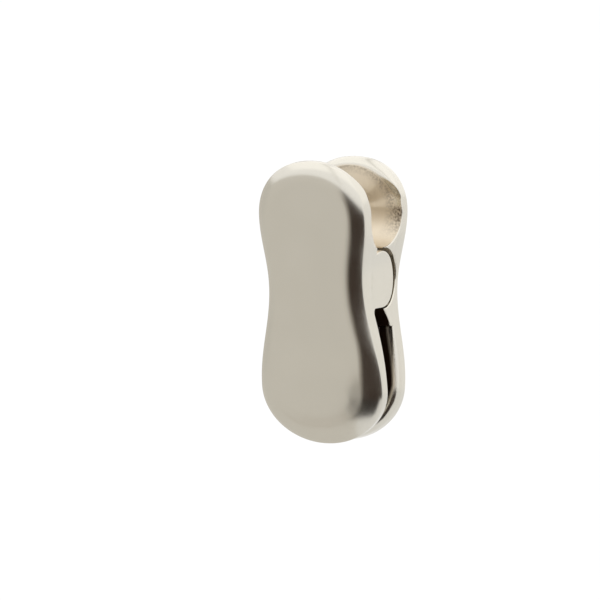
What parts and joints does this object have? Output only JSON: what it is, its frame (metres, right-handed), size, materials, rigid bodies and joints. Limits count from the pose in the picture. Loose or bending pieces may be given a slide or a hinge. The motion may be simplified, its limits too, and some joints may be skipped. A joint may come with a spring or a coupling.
{
  "type": "wolf tone eliminator clip",
  "caption": "Small sprung clip of two pillowed metal plates on a barrel hinge, with padded jaws that clamp a bowed instrument's string.",
  "frame": {"origin": "on the axis of the gripped string, half way across the clip's width", "axes": "+X along the string, +Y from the front plate to the rear plate, +Z from the jaws up to the finger arms"},
  "size_m": [0.0132, 0.0116, 0.0276],
  "materials": {
    "satin_silver": "satin, warm silver plate",
    "pin_steel": "ground",
    "spring_wire": "drawn",
    "washer_brass": "stamped",
    "jaw_leather": "suede, dark brown"
  },
  "bodies": {
    "rear_arm": {"rear_plate": "satin_silver", "rear_jaw_liner": "jaw_leather", "left_washer": "washer_brass", "right_washer": "washer_brass", "torsion_spring": "spring_wire"},
    "front_arm": {"front_plate": "satin_silver", "front_jaw_liner": "jaw_leather", "hinge_pin": "pin_steel"}
  },
  "joints": [
    {"name": "jaw_hinge", "type": "hinge", "parent": "rear_arm", "child": "front_arm", "pos_m": [0, 0, 0.0056], "axis": [-1, 0, 0], "range_deg": [0, 20], "stiffness_Nm_per_rad": 0.02, "springref_deg": -63.03, "deforming": ["torsion_spring"]}
  ]
}
